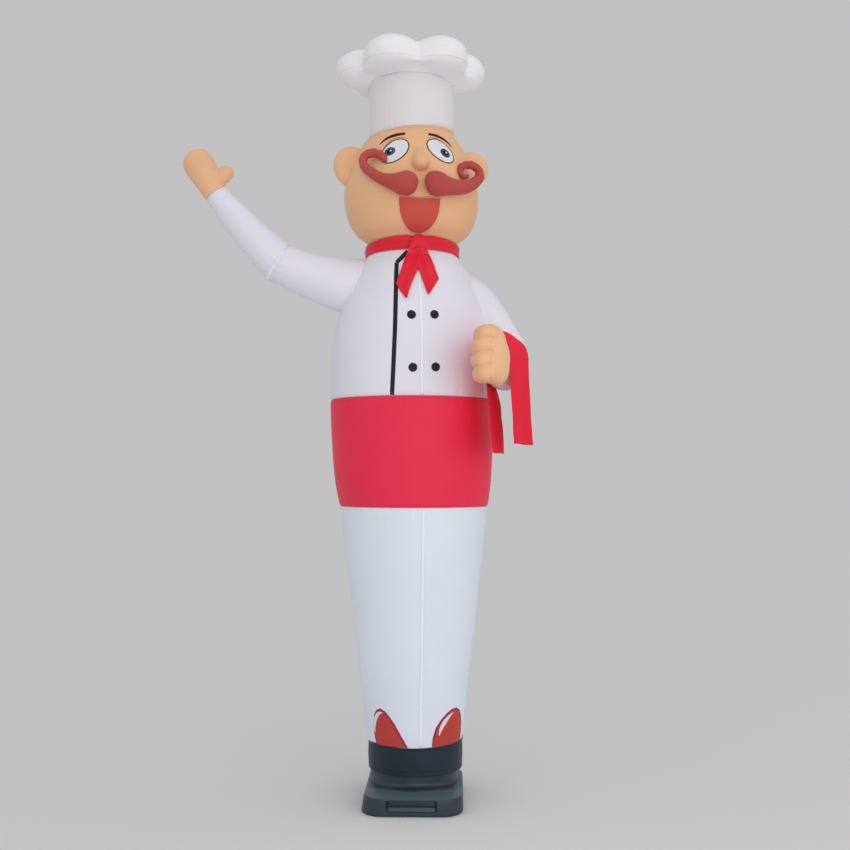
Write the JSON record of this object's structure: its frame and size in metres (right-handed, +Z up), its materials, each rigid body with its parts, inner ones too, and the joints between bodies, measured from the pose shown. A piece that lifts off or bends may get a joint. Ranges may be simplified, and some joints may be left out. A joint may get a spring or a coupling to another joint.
{
  "type": "inflatable air dancer on its blower",
  "caption": "Inflatable air dancer: a cook in white with an apron, moustache, neckerchief, raised arm and towel over its bent arm, standing on a black blower.",
  "frame": {"origin": "on the floor, under the middle of the blower's round outlet", "axes": "+Z up along the tube, -Y the way the figure faces, -X the side of its raised arm"},
  "size_m": [1.6011, 1.115, 3.553],
  "materials": {
    "white_fabric": "thin white ripstop nylon, softly glossy",
    "red_fabric": "red nylon and cotton",
    "skin_fabric": "skin-coloured nylon",
    "whisker_fabric": "brick-red nylon",
    "black_fabric": "black nylon strap cloth",
    "black_plastic": "grained black moulded plastic"
  },
  "bodies": {
    "root": {"blower_base": "black_plastic", "blower_tower": "black_plastic", "cable_gland": "black_plastic", "cuff": "black_fabric", "trousers": "white_fabric", "apron": "red_fabric", "jacket": "white_fabric", "head": "skin_fabric", "hat_band": "white_fabric", "hat_crown": "white_fabric", "sleeve_raised_upper": "white_fabric", "sleeve_raised_fore": "white_fabric", "hand_raised": "skin_fabric", "sleeve_bent": "white_fabric", "fist": "skin_fabric", "ear_left": "skin_fabric", "ear_right": "skin_fabric", "nose": "skin_fabric", "moustache_left": "whisker_fabric", "moustache_right": "whisker_fabric", "scarf_band": "red_fabric", "scarf_knot": "red_fabric", "scarf_tail_left": "red_fabric", "scarf_tail_right": "red_fabric", "towel": "red_fabric"}
  },
  "joints": []
}
